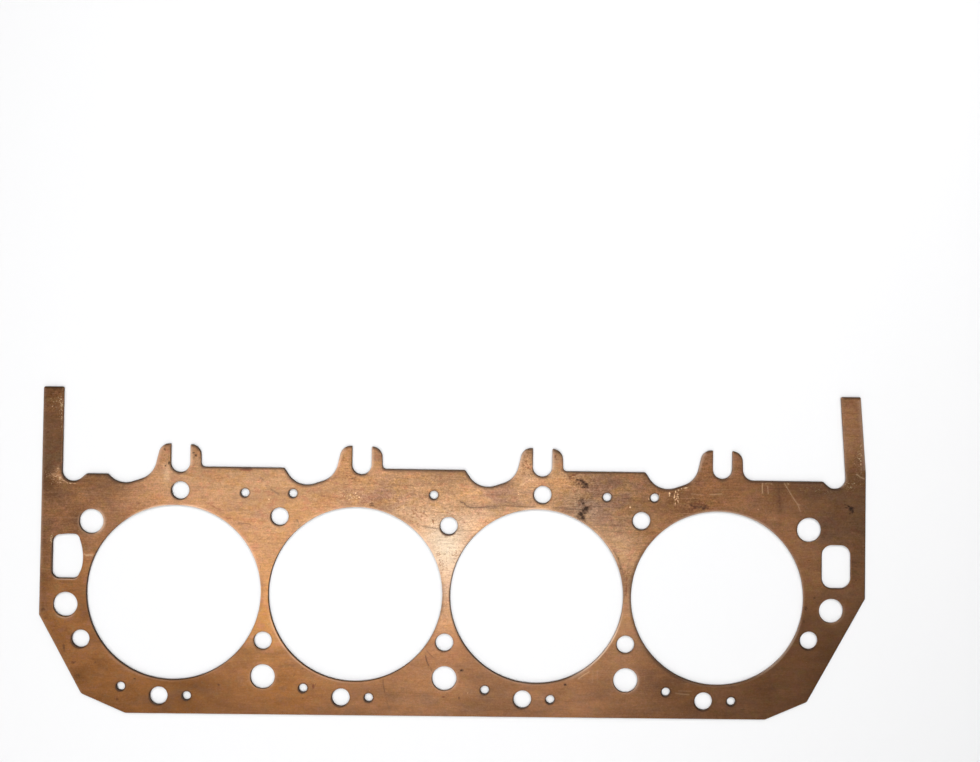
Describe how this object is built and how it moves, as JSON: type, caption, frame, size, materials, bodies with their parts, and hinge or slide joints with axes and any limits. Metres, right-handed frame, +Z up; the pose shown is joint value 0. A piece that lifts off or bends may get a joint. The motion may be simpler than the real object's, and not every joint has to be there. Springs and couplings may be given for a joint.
{
  "type": "cylinder head gasket",
  "caption": "Flat annealed copper cylinder head gasket for one bank of a large V8, with round bore openings in a row, stud, dowel, coolant and steam holes, forked edge tabs and end posts.",
  "frame": {"origin": "centre of the first cylinder bore on the lower face of the sheet, the face it lies on", "axes": "+X along the row of bores, +Y towards the forked side and the posts, +Z up through the sheet"},
  "size_m": [0.5602, 0.2196, 0.0011],
  "materials": {
    "copper": null
  },
  "bodies": {
    "root": {"gasket_sheet": "copper"}
  },
  "joints": []
}
